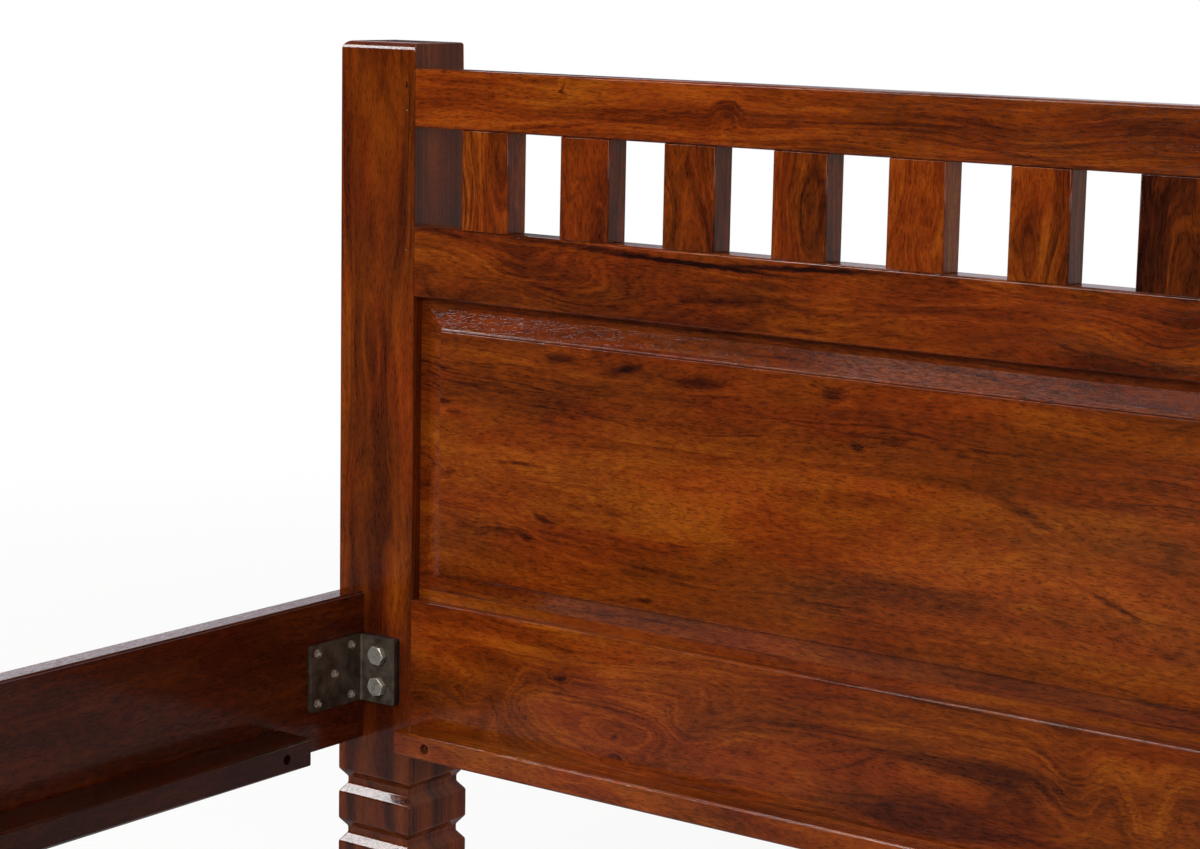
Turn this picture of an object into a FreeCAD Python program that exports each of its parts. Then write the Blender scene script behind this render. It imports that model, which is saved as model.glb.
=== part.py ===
import FreeCAD
import Part
import math
import os

from FreeCAD import Vector

# Bed with a slatted and panelled headboard, in millimetres.
# X runs across the bed, +Y points at the headboard and +Z is up.
# The origin lies on the floor under the middle of the bed.

# Overall layout
floor_clearance = 249.5
inner_length = 2020.0
inner_width = 1523.5
joint_clearance = 0.2
cut_overrun = 5.0

# Posts: square timbers, one pair at each end
post_width = 91.0
post_depth = 87.0
head_post_top_depth = 71.0
post_stand = 23.0
post_arris = 2.0
post_top_round = 8.0
post_top_facets = 4
leg_foot_chamfer = 2.5

# Notches sawn round the legs, counted up from the foot block
notch_count = 4
notch_pitch = 50.5
notch_bevel = 8.5
notch_flat = 6.5
notch_depth = 6.5
foot_block_height = 38.0

# Rails of the headboard and footboard
rail_thickness = 26.5
rail_arris = 1.5
top_rail_height = 54.5
middle_rail_height = 67.0
slat_opening_height = 91.5
head_panel_opening = 289.5
foot_panel_opening = 120.0
tenon_past_pocket = 1.0
tenon_thickness = 12.0
tenon_shoulder = 8.0

# Upright slats of the headboard
slat_count = 13
slat_width = 54.5
slat_end_gap = 56.5
slat_arris = 1.0
slat_tenon_length = 15.0
slat_tenon_thickness = 10.0
slat_tenon_shoulder = 7.0

# Raised panels: a flat margin, a bevel, then two small rounded steps up to the field
panel_recess = 12.0
panel_tongue = 7.0
panel_margin = 9.0
panel_border = 28.0
panel_bevel_rise = 4.6
panel_steps = 2
panel_step_width = 1.6
panel_step_rise = 1.3
panel_step_round = 0.7
panel_tread_slope = 0.15
groove_depth = 10.0
panel_play = 2.0

# Side rails
side_rail_height = 145.5
side_rail_thickness = 24.5
side_rail_inset = 7.5
side_rail_arris = 2.0

# Cleats, the battens that carry the base
side_cleat_width = 44.5
side_cleat_height = 27.5
side_cleat_rise = 6.0
side_cleat_start = 124.0
head_cleat_width = 30.0
head_cleat_height = 24.5
head_cleat_rise = 0.5
head_cleat_start = 6.0
cleat_arris = 2.5
side_cleat_screws = 4
side_cleat_screw_inset = 32.5
head_cleat_screws = 3
head_cleat_screw_inset = 37.0
cleat_screw_counterbore = 10.0
side_cleat_screw_sink = 14.0
head_cleat_screw_sink = 6.0
cleat_screw_length = 45.0

# Corner brackets: a steel angle on the rail, over a steel plate on the post
bracket_height = 65.0
bracket_thickness = 4.0
bracket_rail_leg = 79.5
bracket_post_leg = 45.5
bracket_inner_bend = 2.0
bracket_corner_chamfer = 2.0
backing_plate_thickness = 4.5
backing_plate_corner_gap = 1.0
bolt_diameter = 10.0
bolt_length = 28.0
bolt_hex = 17.0
bolt_head_height = 6.4
bolt_head_chamfer = 0.9
bolt_spacing = 30.5
bolt_edge_distance = 19.0
bracket_hole_diameter = 11.0
bolt_pocket_diameter = 13.0
bolt_pocket_depth = 26.0
bracket_screw_from_post = 46.0
bracket_screw_spacing_along = 48.0
bracket_screw_spacing_up = 49.0
bracket_screw_length = 22.0
bracket_screw_sink = 1.0
plate_screw_edge = 8.0
plate_screw_length = 30.0

# Countersunk screws and brads
screw_head_diameter = 9.0
screw_shank_diameter = 4.5
screw_sides = 8
round_sides = 10
hex_sides = 6
brad_diameter = 2.4
brad_length = 22.0
brad_inset = 9.5
top_rail_brad_height = 15.5
middle_rail_brad_height = 44.0

# Centre beam, its legs and its hangers
beam_width = 60.0
beam_height = 45.0
beam_arris = 2.5
centre_leg_size = 50.0
centre_leg_spacing_share = 0.4455
centre_leg_arris = 3.0
leg_screw_length = 90.0
leg_screw_offset = 14.0
hanger_thickness = 3.0
hanger_depth = 45.0
hanger_ear = 26.0
hanger_wall_height = 36.0
hanger_screw_length = 20.0

# Base slats that lie loose on the side cleats and the beam
base_slat_count = 10
base_slat_width = 80.0
base_slat_thickness = 20.0
base_slat_arris = 2.0
base_slat_head_share = 0.2847
base_slat_foot_share = 0.0495
base_slat_end_play = 4.0

# Levels and planes worked out from the sizes above
slat_gap = (inner_width - 2 * slat_end_gap - slat_count * slat_width) / (slat_count - 1)
half_clear = inner_width / 2
half_length = inner_length / 2
head_face = half_length
foot_face = -half_length - rail_thickness
seat_level = floor_clearance + side_rail_height
middle_rail_level = seat_level + head_panel_opening
slat_level = middle_rail_level + middle_rail_height
head_top_rail_level = slat_level + slat_opening_height
head_post_top = head_top_rail_level + top_rail_height + post_stand
foot_top_rail_level = seat_level + foot_panel_opening
foot_post_top = foot_top_rail_level + top_rail_height + post_stand
rail_inner_face = half_clear + post_width - side_rail_inset - side_rail_thickness
side_cleat_top = floor_clearance + side_cleat_rise + side_cleat_height
head_cleat_level = floor_clearance + head_cleat_rise
bracket_level = floor_clearance + (side_rail_height - bracket_height) / 2
bracket_middle = floor_clearance + side_rail_height / 2

# The bolts go through the bottom rails' tenons, and the pockets behind them end inside the tenons
bolt_x = bracket_post_leg - bolt_edge_distance - rail_inner_face
bolt_levels = [bracket_middle - bolt_spacing / 2, bracket_middle + bolt_spacing / 2]
tenon_length = -bolt_x - half_clear + bolt_pocket_diameter / 2 + tenon_past_pocket

# Places along the bed that move with its length
centre_leg_spacing = inner_length * centre_leg_spacing_share
base_slat_bare_at_head = inner_length * base_slat_head_share
base_slat_bare_at_foot = inner_length * base_slat_foot_share

# The middle of a quarter circle stands this share of its radius in from both tangents
arc_middle_share = 1 - 0.5 ** 0.5
# An edge counts as parallel to an axis when this share of its length runs along it
parallel_share = 0.999

up = Vector(0, 0, 1)
down = Vector(0, 0, -1)
to_head = Vector(0, 1, 0)
to_foot = Vector(0, -1, 0)
to_left = Vector(-1, 0, 0)

os.makedirs("parts", exist_ok=True)


def save(name, *shapes):
    solids = [solid for shape in shapes for solid in shape.Solids]
    whole = solids[0] if len(solids) == 1 else Part.makeCompound(solids)
    whole.exportStep("parts/" + name + ".step")
    print(name, len(solids), round(whole.Volume))


def block(x0, x1, y0, y1, z0, z1):
    return Part.makeBox(x1 - x0, y1 - y0, z1 - z0, Vector(x0, y0, z0))


def eased_block(x0, x1, y0, y1, z0, z1, arris, along):
    # takes the arris off the four long edges that run along one axis
    solid = block(x0, x1, y0, y1, z0, z1)
    return solid.makeChamfer(arris, edges_along(solid, along))


def edges_along(solid, axis):
    chosen = []
    for edge in solid.Edges:
        run = edge.Vertexes[-1].Point - edge.Vertexes[0].Point
        if run.Length > 0 and abs(run.normalize().dot(axis)) > parallel_share:
            chosen.append(edge)
    return chosen


def right_hand(shape):
    return shape.mirror(Vector(0, 0, 0), Vector(1, 0, 0))


def foot_end(shape):
    return shape.mirror(Vector(0, 0, 0), Vector(0, 1, 0))


def four_corners(shape):
    head_left = shape
    head_right = right_hand(shape)
    return {
        "head_left": head_left,
        "head_right": head_right,
        "foot_left": foot_end(head_left),
        "foot_right": foot_end(head_right),
    }


def aimed(shape, place, direction):
    moved = shape.copy()
    moved.Placement = FreeCAD.Placement(place, FreeCAD.Rotation(up, direction))
    return moved


def skinned(rings):
    # a solid of flat faces that join each ring of points to the next, with a cap at both ends
    faces = [Part.Face(Part.makePolygon(ring + ring[:1])) for ring in (rings[0], rings[-1])]
    for lower, upper in zip(rings, rings[1:]):
        for here in range(len(lower)):
            corners = [lower[here - 1], lower[here], upper[here], upper[here - 1]]
            faces.append(Part.Face(Part.makePolygon(corners + corners[:1])))
    solid = Part.makeSolid(Part.makeShell(faces))
    return solid if solid.Volume > 0 else solid.reversed()


def stacked(sides, sections):
    # regular polygons on one axis, each given as (radius, depth), joined up
    turn = FreeCAD.Rotation(up, 360 / sides)
    rings = []
    for radius, depth in sections:
        corner = Vector(radius, 0, 0)
        ring = []
        for _ in range(sides):
            ring.append(corner + up * depth)
            corner = turn.multVec(corner)
        rings.append(ring)
    return skinned(rings)


def round_bar(diameter, length):
    # a many-sided bar for round holes and shanks, which keeps their facets few
    return stacked(round_sides, [(diameter / 2, 0), (diameter / 2, length)])


def screw(length, reach=0.0):
    # a countersunk screw, its head at the origin and its tip along +Z
    # a reach carries the head's 45 degree cone outwards, which makes the tool for its countersink
    head = screw_head_diameter / 2
    shank = screw_shank_diameter / 2
    return stacked(screw_sides, [(head + reach, -reach), (shank, head - shank), (shank, length)])


def cut_all(solid, tools):
    return solid.cut(Part.makeCompound(tools)) if tools else solid


# Fasteners at the head left corner, mirrored to the other corners


def brads_for(levels):
    body = stacked(screw_sides, [(brad_diameter / 2, 0), (brad_diameter / 2, brad_length)])
    across = -half_clear - brad_inset
    return [aimed(body, Vector(across, head_face, level), to_head) for level in levels]


def both_sides(shapes):
    return shapes + [right_hand(shape) for shape in shapes]


head_brads = both_sides(brads_for([
    head_top_rail_level + top_rail_brad_height,
    slat_level - middle_rail_height + middle_rail_brad_height,
]))
foot_brads = both_sides([
    foot_end(brad) for brad in brads_for([foot_top_rail_level + top_rail_brad_height])
])
all_brads = head_brads + foot_brads

plate_face = half_length - backing_plate_thickness
bracket_face = plate_face - bracket_thickness


def hex_bolt():
    # the head's top lies at the origin and the shank runs along +Z
    corner = bolt_hex / 3 ** 0.5
    crown = corner - bolt_head_chamfer
    head = stacked(hex_sides, [(crown, 0), (corner, bolt_head_chamfer), (corner, bolt_head_height)])
    shank = aimed(round_bar(bolt_diameter, bolt_length), up * bolt_head_height, up)
    return head.fuse(shank).removeSplitter()


def corner_bolts():
    bolt = hex_bolt()
    start = bracket_face - bolt_head_height
    return [aimed(bolt, Vector(bolt_x, start, level), to_head) for level in bolt_levels]


def bracket_screws(reach):
    face = -rail_inner_face + bracket_thickness - bracket_screw_sink
    middle = half_length - bracket_screw_from_post
    half_along = bracket_screw_spacing_along / 2
    half_up = bracket_screw_spacing_up / 2
    places = [(middle, bracket_middle)]
    for along in (-half_along, half_along):
        for height in (-half_up, half_up):
            places.append((middle + along, bracket_middle + height))
    body = screw(bracket_screw_length, reach)
    return [aimed(body, Vector(face, y, z), to_left) for y, z in places]


def plate_screws():
    inner = -rail_inner_face + bracket_post_leg - plate_screw_edge
    outer = -rail_inner_face + bracket_thickness + plate_screw_edge
    low = bracket_level + plate_screw_edge
    high = bracket_level + bracket_height - plate_screw_edge
    body = screw(plate_screw_length)
    return [aimed(body, Vector(x, plate_face, z), to_head) for x, z in ((outer, high), (inner, low))]


def pockets_behind_bolts():
    # clearance in the post and the tenon for the bolts' ends
    pocket = round_bar(bolt_pocket_diameter, bolt_pocket_depth)
    return [aimed(pocket, Vector(bolt_x, head_face, level), to_head) for level in bolt_levels]


corner_bolt_set = corner_bolts()
bolt_pockets = pockets_behind_bolts()
bracket_screw_set = bracket_screws(0)
bracket_countersinks = bracket_screws(bracket_screw_sink + cut_overrun)
plate_screw_set = plate_screws()


# Posts


def post_outline(inset, level, depth):
    # one level outline of the post with its arrises off, drawn in by the inset on all four sides
    x0 = -half_clear - post_width + inset
    x1 = -half_clear - inset
    y0 = head_face + inset
    y1 = head_face + depth - inset
    a = post_arris
    return [
        Vector(x0 + a, y0, level), Vector(x1 - a, y0, level),
        Vector(x1, y0 + a, level), Vector(x1, y1 - a, level),
        Vector(x1 - a, y1, level), Vector(x0 + a, y1, level),
        Vector(x0, y1 - a, level), Vector(x0, y0 + a, level),
    ]


def leg_sections():
    # foot block, then notches with bevelled sides and a flat floor
    sections = [(leg_foot_chamfer, 0), (0, leg_foot_chamfer)]
    for number in range(notch_count):
        level = foot_block_height + number * notch_pitch
        sections.append((0, level))
        sections.append((notch_depth, level + notch_bevel))
        sections.append((notch_depth, level + notch_bevel + notch_flat))
        sections.append((0, level + 2 * notch_bevel + notch_flat))
    return sections


def top_sections(top):
    # the arrises of the top follow a quarter circle
    sections = []
    for number in range(post_top_facets + 1):
        angle = math.pi / 2 * number / post_top_facets
        inset = post_top_round * (1 - math.cos(angle))
        sections.append((inset, top - post_top_round * (1 - math.sin(angle))))
    return sections


def post_body(top, top_depth):
    # square to the seat, above which the back face leans in to the top
    lean = (post_depth - top_depth) / (top - seat_level)
    outlines = []
    for inset, level in leg_sections() + [(0, seat_level)] + top_sections(top):
        depth = post_depth - lean * max(0, level - seat_level)
        outlines.append(post_outline(inset, level, depth))
    return skinned(outlines)


def mortise(face, level, height):
    # face is the show face of the rail that the tenon belongs to
    y0 = face + (rail_thickness - tenon_thickness) / 2 - joint_clearance
    y1 = face + (rail_thickness + tenon_thickness) / 2 + joint_clearance
    x0 = -half_clear - tenon_length - joint_clearance
    x1 = -half_clear + cut_overrun
    z0 = level + tenon_shoulder - joint_clearance
    z1 = level + height - tenon_shoulder + joint_clearance
    return block(x0, x1, y0, y1, z0, z1)


def panel_groove(face, x0, x1, z0, z1):
    y0 = face + panel_recess - joint_clearance
    y1 = face + panel_recess + panel_tongue + joint_clearance
    return block(x0, x1, y0, y1, z0, z1)


def joinery_cuts(face, rails, panel_top):
    # the mortises for one post's rails and the groove for its panel
    cuts = [mortise(face, level, height) for level, height in rails]
    groove_floor = -half_clear - groove_depth
    cuts.append(panel_groove(face, groove_floor, -half_clear + cut_overrun, seat_level, panel_top))
    return cuts


def post(top, top_depth, cuts):
    # every left post is modelled at the head end; a foot post is flipped afterwards
    return cut_all(post_body(top, top_depth), cuts + bolt_pockets + plate_screw_set)


head_rails = [
    (floor_clearance, side_rail_height),
    (middle_rail_level, middle_rail_height),
    (head_top_rail_level, top_rail_height),
]
foot_rails = [(floor_clearance, side_rail_height), (foot_top_rail_level, top_rail_height)]

head_joinery = joinery_cuts(head_face, head_rails, middle_rail_level)
foot_joinery = joinery_cuts(foot_face, foot_rails, foot_top_rail_level)
head_post = post(head_post_top, head_post_top_depth, head_joinery + head_brads)
foot_post = foot_end(post(foot_post_top, post_depth, [foot_end(cut) for cut in foot_joinery + foot_brads]))
save("head_post_left", head_post)
save("head_post_right", right_hand(head_post))
save("foot_post_left", foot_post)
save("foot_post_right", right_hand(foot_post))


# Rails of the headboard and footboard


def slat_starts():
    first = -half_clear + slat_end_gap
    return [first + number * (slat_width + slat_gap) for number in range(slat_count)]


def slat_tenon(start, z0, z1, play):
    x0 = start + slat_tenon_shoulder - play
    x1 = start + slat_width - slat_tenon_shoulder + play
    y0 = head_face + (rail_thickness - slat_tenon_thickness) / 2 - play
    y1 = head_face + (rail_thickness + slat_tenon_thickness) / 2 + play
    return block(x0, x1, y0, y1, z0, z1)


def rail(face, level, height, cuts):
    body = eased_block(
        -half_clear, half_clear, face, face + rail_thickness,
        level, level + height, rail_arris, to_left)
    tenon = block(
        -half_clear - tenon_length, half_clear + tenon_length,
        face + (rail_thickness - tenon_thickness) / 2, face + (rail_thickness + tenon_thickness) / 2,
        level + tenon_shoulder, level + height - tenon_shoulder)
    return cut_all(body.fuse(tenon).removeSplitter(), cuts)


def long_groove(face, z0, z1):
    return panel_groove(face, -half_clear, half_clear, z0, z1)


def screw_row(count, inset, half_run):
    # evenly spaced places along a cleat, the same distance in from both ends
    step = 2 * (half_run - inset) / (count - 1)
    return [-half_run + inset + number * step for number in range(count)]


head_cleat_run = half_clear - head_cleat_start
head_cleat_screw_level = head_cleat_level + head_cleat_height / 2
head_cleat_face = half_length - head_cleat_width
head_cleat_screw_set = [
    aimed(
        screw(cleat_screw_length),
        Vector(x, head_cleat_face + head_cleat_screw_sink, head_cleat_screw_level), to_head)
    for x in screw_row(head_cleat_screws, head_cleat_screw_inset, head_cleat_run)
]
foot_cleat_screw_set = [foot_end(body) for body in head_cleat_screw_set]

slat_mortises_low = [
    slat_tenon(
        start, slat_level - slat_tenon_length - joint_clearance,
        slat_level + cut_overrun, joint_clearance)
    for start in slat_starts()
]
slat_mortises_high = [
    slat_tenon(
        start, head_top_rail_level - cut_overrun,
        head_top_rail_level + slat_tenon_length + joint_clearance, joint_clearance)
    for start in slat_starts()
]

save("head_top_rail", rail(
    head_face, head_top_rail_level, top_rail_height, slat_mortises_high + head_brads))
save("head_middle_rail", rail(
    head_face, middle_rail_level, middle_rail_height,
    slat_mortises_low + head_brads
    + [long_groove(head_face, middle_rail_level - cut_overrun, middle_rail_level + groove_depth)]))
corner_cuts = both_sides(bolt_pockets + plate_screw_set)
save("head_bottom_rail", rail(
    head_face, floor_clearance, side_rail_height,
    head_cleat_screw_set + corner_cuts
    + [long_groove(head_face, seat_level - groove_depth, seat_level + cut_overrun)]))
save("foot_top_rail", rail(
    foot_face, foot_top_rail_level, top_rail_height,
    foot_brads
    + [long_groove(foot_face, foot_top_rail_level - cut_overrun, foot_top_rail_level + groove_depth)]))
save("foot_bottom_rail", rail(
    foot_face, floor_clearance, side_rail_height,
    foot_cleat_screw_set + [foot_end(cut) for cut in corner_cuts]
    + [long_groove(foot_face, seat_level - groove_depth, seat_level + cut_overrun)]))


# Upright slats


def upright_slat(start):
    body = eased_block(
        start, start + slat_width, head_face, head_face + rail_thickness,
        slat_level, head_top_rail_level, slat_arris, up)
    tenon = slat_tenon(start, slat_level - slat_tenon_length, head_top_rail_level + slat_tenon_length, 0)
    return body.fuse(tenon).removeSplitter()


for number, start in enumerate(slat_starts(), 1):
    save("head_slat_%02d" % number, upright_slat(start))


# Raised panels


def panel_outline(inset, face_depth, face, z0, z1):
    # a rectangle parallel to the rails, drawn in by the inset from the panel's opening
    y = face + face_depth
    low = Vector(-half_clear + inset, y, z0 + inset)
    high = Vector(half_clear - inset, y, z1 - inset)
    return [low, Vector(high.x, y, low.z), high, Vector(low.x, y, high.z)]


def step_up(inset, surface):
    # one rounded step of the moulding: up the riser, over the round, onto a slightly sloped tread
    r = panel_step_round
    lean = r * arc_middle_share
    top = surface - panel_step_rise
    tread = top - panel_tread_slope
    riser = [(inset, top + r), (inset + lean, top + lean), (inset + r, top)]
    return riser + [(inset + panel_step_width, tread)]


def raised_panel(face, z0, z1):
    tongue_reach = panel_play - groove_depth
    tongue = [
        panel_outline(tongue_reach, depth, face, z0, z1)
        for depth in (panel_recess + panel_tongue, panel_recess)
    ]
    profile = [(panel_margin, panel_recess), (panel_border, panel_recess - panel_bevel_rise)]
    for _ in range(panel_steps):
        profile += step_up(*profile[-1])
    raised = [panel_outline(inset, depth, face, z0, z1) for inset, depth in profile]
    return skinned(tongue).fuse(skinned(raised)).removeSplitter()


save("head_panel", raised_panel(head_face, seat_level, middle_rail_level))
save("foot_panel", raised_panel(foot_face, seat_level, foot_top_rail_level))


# Side rails and cleats

side_cleat_run = half_length - side_cleat_start
side_cleat_screw_level = side_cleat_top - side_cleat_height / 2
side_cleat_face = -rail_inner_face + side_cleat_width
side_cleat_screw_set = [
    aimed(
        screw(cleat_screw_length),
        Vector(side_cleat_face - side_cleat_screw_sink, y, side_cleat_screw_level), to_left)
    for y in screw_row(side_cleat_screws, side_cleat_screw_inset, side_cleat_run)
]
rail_screws = bracket_screw_set + [foot_end(body) for body in bracket_screw_set]

side_rail = cut_all(
    eased_block(
        -rail_inner_face - side_rail_thickness, -rail_inner_face, -half_length, half_length,
        floor_clearance, seat_level, side_rail_arris, to_head),
    rail_screws + side_cleat_screw_set)
save("side_rail_left", side_rail)
save("side_rail_right", right_hand(side_rail))


def counterbores(screws, sink, direction):
    depth = sink + cut_overrun
    bore = round_bar(cleat_screw_counterbore, depth)
    return [aimed(bore, body.Placement.Base - direction * depth, direction) for body in screws]


side_cleat = cut_all(
    eased_block(
        -rail_inner_face, side_cleat_face, -side_cleat_run, side_cleat_run,
        side_cleat_top - side_cleat_height, side_cleat_top, cleat_arris, to_head),
    side_cleat_screw_set + counterbores(side_cleat_screw_set, side_cleat_screw_sink, to_left))
save("side_cleat_left", side_cleat)
save("side_cleat_right", right_hand(side_cleat))


# Centre beam, hangers and legs

beam_half = half_length - head_cleat_width - hanger_thickness - joint_clearance
beam_bottom = side_cleat_top - beam_height


def beam_hanger():
    # a steel stirrup under the beam's end, with an ear each side on the cleat's face
    t = hanger_thickness
    half = beam_width / 2 + joint_clearance
    y1 = head_cleat_face
    y0 = y1 - hanger_depth
    floor = beam_bottom - joint_clearance
    outer = block(-half - t, half + t, y0, y1, floor - t, floor + hanger_wall_height)
    inner = block(-half, half, y0 - cut_overrun, y1 - t, floor, floor + hanger_wall_height + cut_overrun)
    ears = block(
        -half - t - hanger_ear, half + t + hanger_ear, y1 - t, y1,
        head_cleat_level + cleat_arris, head_cleat_level + head_cleat_height - cleat_arris)
    return outer.cut(inner).fuse(ears).removeSplitter()


def hanger_screws():
    x = beam_width / 2 + joint_clearance + hanger_thickness + hanger_ear / 2
    body = screw(hanger_screw_length)
    face = head_cleat_face - hanger_thickness
    return [aimed(body, Vector(side, face, head_cleat_screw_level), to_head) for side in (-x, x)]


def leg_screws():
    body = screw(leg_screw_length)
    places = []
    for middle in (-centre_leg_spacing / 2, centre_leg_spacing / 2):
        for offset in (-leg_screw_offset, leg_screw_offset):
            places.append(Vector(0, middle + offset, side_cleat_top))
    return [aimed(body, place, down) for place in places]


hanger_screw_set = hanger_screws()
leg_screw_set = leg_screws()

head_cleat = cut_all(
    eased_block(
        -head_cleat_run, head_cleat_run, head_cleat_face, half_length,
        head_cleat_level, head_cleat_level + head_cleat_height, cleat_arris, to_left),
    head_cleat_screw_set
    + counterbores(head_cleat_screw_set, head_cleat_screw_sink, to_head)
    + hanger_screw_set)
save("head_cleat", head_cleat)
save("foot_cleat", foot_end(head_cleat))

hanger = cut_all(beam_hanger(), hanger_screw_set)
save("beam_hanger_head", hanger)
save("beam_hanger_foot", foot_end(hanger))

beam = eased_block(
    -beam_width / 2, beam_width / 2, -beam_half, beam_half, beam_bottom, side_cleat_top, beam_arris, to_head)
save("centre_beam", cut_all(beam, leg_screw_set))


def centre_leg(middle):
    half = centre_leg_size / 2
    leg = eased_block(-half, half, middle - half, middle + half, 0, beam_bottom, centre_leg_arris, up)
    return cut_all(leg, leg_screw_set)


save("centre_leg_head", centre_leg(centre_leg_spacing / 2))
save("centre_leg_foot", centre_leg(-centre_leg_spacing / 2))


# Base slats


def base_slat(start):
    reach = rail_inner_face - base_slat_end_play
    return eased_block(
        -reach, reach, start, start + base_slat_width,
        side_cleat_top, side_cleat_top + base_slat_thickness, base_slat_arris, to_left)


first_slat = half_length - base_slat_bare_at_head - base_slat_width
last_slat = -half_length + base_slat_bare_at_foot
base_slat_pitch = (first_slat - last_slat) / (base_slat_count - 1)
for number in range(base_slat_count):
    save("base_slat_%02d" % (number + 1), base_slat(first_slat - number * base_slat_pitch))


# Corner hardware


def bracket_outline():
    # plan of the bent angle: one leg along the post's front, the other along the rail
    t = bracket_thickness
    inner = bracket_inner_bend
    outer = bracket_inner_bend + t
    lean = arc_middle_share
    post_end = bracket_post_leg
    rail_end = bracket_rail_leg - backing_plate_thickness

    def at(right, forward):
        return Vector(-rail_inner_face + right, plate_face - forward, bracket_level)

    return Part.Wire([
        Part.LineSegment(at(outer, 0), at(post_end, 0)).toShape(),
        Part.LineSegment(at(post_end, 0), at(post_end, t)).toShape(),
        Part.LineSegment(at(post_end, t), at(outer, t)).toShape(),
        Part.Arc(at(outer, t), at(t + inner * lean, t + inner * lean), at(t, outer)).toShape(),
        Part.LineSegment(at(t, outer), at(t, rail_end)).toShape(),
        Part.LineSegment(at(t, rail_end), at(0, rail_end)).toShape(),
        Part.LineSegment(at(0, rail_end), at(0, outer)).toShape(),
        Part.Arc(at(0, outer), at(outer * lean, outer * lean), at(outer, 0)).toShape(),
    ])


def corner_bracket():
    angle = Part.Face(bracket_outline()).extrude(up * bracket_height)
    far_x = -rail_inner_face + bracket_post_leg - joint_clearance
    far_y = half_length - bracket_rail_leg + joint_clearance
    corners = [edge for edge in edges_along(angle, to_head) if edge.CenterOfMass.x > far_x]
    corners += [edge for edge in edges_along(angle, to_left) if edge.CenterOfMass.y < far_y]
    angle = angle.makeChamfer(bracket_corner_chamfer, corners)
    hole = round_bar(bracket_hole_diameter, bracket_post_leg)
    holes = [aimed(hole, Vector(bolt_x, plate_face + cut_overrun, level), to_foot) for level in bolt_levels]
    return cut_all(angle, holes + bracket_countersinks)


def backing_plate():
    x0 = -rail_inner_face + backing_plate_corner_gap
    x1 = -rail_inner_face + bracket_post_leg
    plate = block(x0, x1, plate_face, half_length, bracket_level, bracket_level + bracket_height)
    plate = plate.makeChamfer(bracket_corner_chamfer, edges_along(plate, to_head))
    hole = round_bar(bolt_diameter, bolt_length)
    start = bracket_face - bolt_head_height
    holes = [aimed(hole, Vector(bolt_x, start, level), to_head) for level in bolt_levels]
    return cut_all(plate, holes + plate_screw_set)


for corner, shape in four_corners(corner_bracket()).items():
    save("corner_bracket_" + corner, shape)
for corner, shape in four_corners(backing_plate()).items():
    save("backing_plate_" + corner, shape)


def at_all_corners(shapes):
    return [placed for shape in shapes for placed in four_corners(shape).values()]


save("hex_bolts", *at_all_corners(corner_bolt_set))
save("bracket_screws", *at_all_corners(bracket_screw_set))
save("backing_plate_screws", *at_all_corners(plate_screw_set))
save("cleat_screws", *both_sides(side_cleat_screw_set), *head_cleat_screw_set, *foot_cleat_screw_set)
save("tenon_brads", *all_brads)
save("beam_screws", *hanger_screw_set, *[foot_end(body) for body in hanger_screw_set], *leg_screw_set)
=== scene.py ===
import math
import bmesh
import bpy
import numpy as np
from mathutils import Matrix, Vector


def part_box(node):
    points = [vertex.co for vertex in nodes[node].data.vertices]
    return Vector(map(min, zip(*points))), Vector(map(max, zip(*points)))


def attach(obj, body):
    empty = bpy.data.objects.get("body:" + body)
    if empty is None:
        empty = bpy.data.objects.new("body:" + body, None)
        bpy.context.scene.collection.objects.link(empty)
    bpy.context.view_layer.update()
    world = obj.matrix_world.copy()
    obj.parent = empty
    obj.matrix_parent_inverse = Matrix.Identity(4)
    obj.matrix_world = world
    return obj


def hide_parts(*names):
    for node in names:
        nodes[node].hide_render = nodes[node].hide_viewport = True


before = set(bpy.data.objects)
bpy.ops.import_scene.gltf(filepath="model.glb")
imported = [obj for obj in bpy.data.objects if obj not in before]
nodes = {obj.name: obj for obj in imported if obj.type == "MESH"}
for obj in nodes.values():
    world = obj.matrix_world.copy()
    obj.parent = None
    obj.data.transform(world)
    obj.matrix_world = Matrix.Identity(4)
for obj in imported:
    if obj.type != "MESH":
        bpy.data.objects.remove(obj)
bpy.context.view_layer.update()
mm = 0.001
white = (1.0, 1.0, 1.0, 1.0)


# Shader helpers

def linearColour(hexColour):
    # sRGB hex to the linear values that the sockets expect
    channels = [int(hexColour[place:place + 2], 16) / 255 for place in (1, 3, 5)]
    return tuple(c / 12.92 if c <= 0.04045 else ((c + 0.055) / 1.055) ** 2.4 for c in channels) + (1.0,)


def addNode(tree, kind, settings=None, links=None):
    # one shader node with its settings, socket values and incoming links
    node = tree.nodes.new("ShaderNode" + kind)
    for key, value in (settings or {}).items():
        if key == "stops":
            ramp = node.color_ramp.elements
            while len(ramp) < len(value):
                ramp.new(0.5)
            for stop, (place, colour) in zip(ramp, value):
                stop.position = place
                stop.color = linearColour(colour)
        elif isinstance(key, int) or key in node.inputs:
            node.inputs[key].default_value = value
        else:
            setattr(node, key, value)
    for key, source in (links or {}).items():
        tree.links.new(source, node.inputs[key])
    return node


def combine(tree, operation, first, second):
    return addNode(tree, "Math", {"operation": operation}, {0: first, 1: second}).outputs[0]


def fade(tree, value, ends, start=0.0, end=1.0, shape="SMOOTHSTEP"):
    # goes from start to end while the value goes from one end of its range to the other, and holds beyond them
    return addNode(tree, "MapRange", {"From Min": ends[0], "From Max": ends[1], "To Min": start, "To Max": end,
                                      "interpolation_type": shape}, {"Value": value}).outputs[0]


def drawnNoise(tree, place, sizes, detail):
    # noise with features of these sizes in mm along X, Y and Z
    spread = addNode(tree, "Mapping", {"Scale": [1 / (size * mm) for size in sizes]}, {"Vector": place})
    noise = addNode(tree, "TexNoise", {"Scale": 1.0, "Detail": detail}, {"Vector": spread.outputs[0]})
    return noise.outputs["Fac"]


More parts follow.
